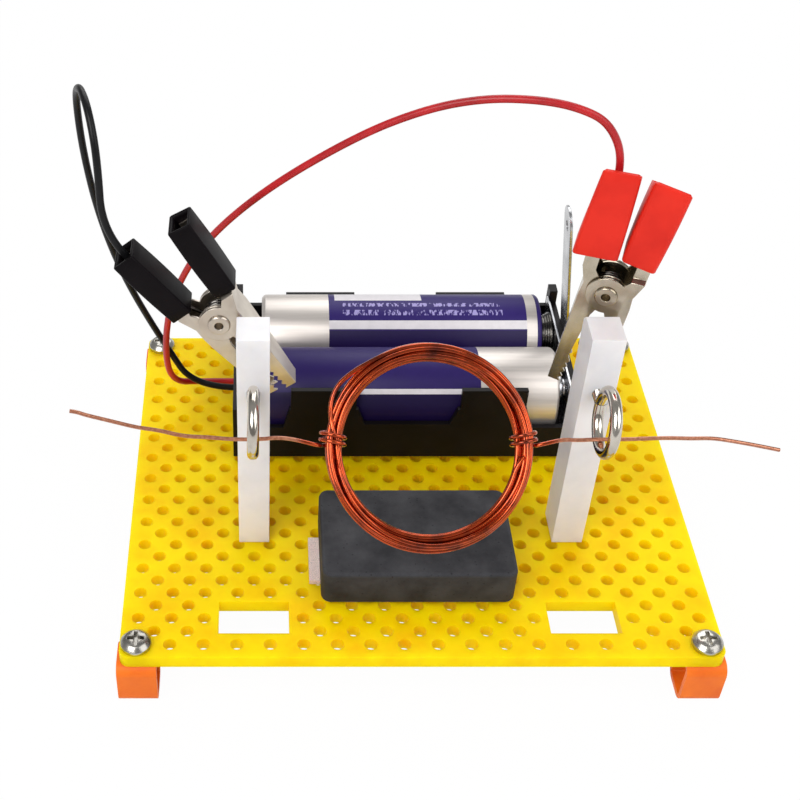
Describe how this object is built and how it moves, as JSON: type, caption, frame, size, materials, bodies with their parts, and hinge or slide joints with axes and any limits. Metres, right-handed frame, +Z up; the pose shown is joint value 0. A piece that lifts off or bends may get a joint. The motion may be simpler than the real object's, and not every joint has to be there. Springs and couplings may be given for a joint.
{
  "type": "demonstration electric motor",
  "caption": "Classroom electric motor: a wire coil turns in two screw eyes over a block magnet on a perforated base, fed through two clips from a battery holder.",
  "frame": {"origin": "on the surface that the feet stand on, under the middle of the base plate", "axes": "+X to the right along the coil's axle and the plate's long side, +Y to the back where the battery holder is, +Z up"},
  "size_m": [0.1018, 0.0764, 0.0833],
  "materials": {
    "yellow_plate": "smooth moulded yellow plastic",
    "orange_rubber": "soft orange tubing",
    "screw_steel": "zinc-plated steel",
    "ferrite": "sintered dark grey ferrite",
    "foam_tape": "white foam tape",
    "white_plastic": "white moulded plastic",
    "nickel": "bright nickel plate",
    "enamelled_copper": "enamelled copper wire",
    "black_plastic": "black moulded plastic",
    "cell_jacket": "printed metallised jacket, bare of words",
    "cell_steel": "plated steel",
    "contact_steel": "nickel-plated strip and spring wire",
    "clip_steel": "nickel-plated pressed steel",
    "black_sleeve": "black moulded sleeve",
    "red_sleeve": "soft red plastic sleeve",
    "red_insulation": "red insulation",
    "black_insulation": "black insulation"
  },
  "bodies": {
    "base": {"base_plate": "yellow_plate", "foot_front_left": "orange_rubber", "foot_front_right": "orange_rubber", "foot_back_left": "orange_rubber", "foot_back_right": "orange_rubber", "corner_screw_front_left": "screw_steel", "corner_screw_front_right": "screw_steel", "corner_screw_back_left": "screw_steel", "corner_screw_back_right": "screw_steel", "corner_nut_front_left": "screw_steel", "corner_nut_front_right": "screw_steel", "corner_nut_back_left": "screw_steel", "corner_nut_back_right": "screw_steel", "left_post_screw": "screw_steel", "right_post_screw": "screw_steel", "magnet": "ferrite", "magnet_tape": "foam_tape", "holder_tape": "foam_tape", "left_post": "white_plastic", "right_post": "white_plastic", "left_eye": "nickel", "right_eye": "nickel", "battery_holder": "black_plastic", "front_cell": "cell_jacket", "rear_cell": "cell_jacket", "front_cell_button": "cell_steel", "rear_cell_button": "cell_steel", "negative_plate": "contact_steel", "positive_plate": "contact_steel", "link_plate": "contact_steel", "negative_spring": "contact_steel", "link_spring": "contact_steel", "contact_strip": "contact_steel", "left_clip_fixed_lever": "clip_steel", "left_clip_rivet": "clip_steel", "left_clip_spring": "clip_steel", "right_clip_fixed_lever": "clip_steel", "right_clip_rivet": "clip_steel", "right_clip_spring": "clip_steel", "left_clip_fixed_sleeve": "black_sleeve", "right_clip_fixed_sleeve": "red_sleeve", "red_lead": "red_insulation", "black_lead": "black_insulation"},
    "armature": {"coil_winding": "enamelled_copper", "coil_lead_left": "enamelled_copper", "coil_lead_right": "enamelled_copper"},
    "left_clip_jaw": {"left_clip_moving_lever": "clip_steel", "left_clip_moving_sleeve": "black_sleeve"},
    "right_clip_jaw": {"right_clip_moving_lever": "clip_steel", "right_clip_moving_sleeve": "red_sleeve"}
  },
  "joints": [
    {"name": "armature_spin", "type": "hinge", "parent": "base", "child": "armature", "pos_m": [0, -0.0207, 0.03857], "axis": [1, 0, 0], "continuous": true},
    {"name": "left_clip_squeeze", "type": "hinge", "parent": "base", "child": "left_clip_jaw", "pos_m": [-0.02998, -0.0049, 0.04905], "axis": [0, -1, 0], "range_deg": [0, 16], "stiffness_Nm_per_rad": 0.008, "springref_deg": -57.3, "deforming": ["left_clip_spring"]},
    {"name": "right_clip_squeeze", "type": "hinge", "parent": "base", "child": "right_clip_jaw", "pos_m": [0.02646, -0.0041, 0.0535], "axis": [-0.3256, -0.9455, 0], "range_deg": [0, 8], "stiffness_Nm_per_rad": 0.008, "springref_deg": -57.3, "deforming": ["right_clip_spring"]}
  ]
}
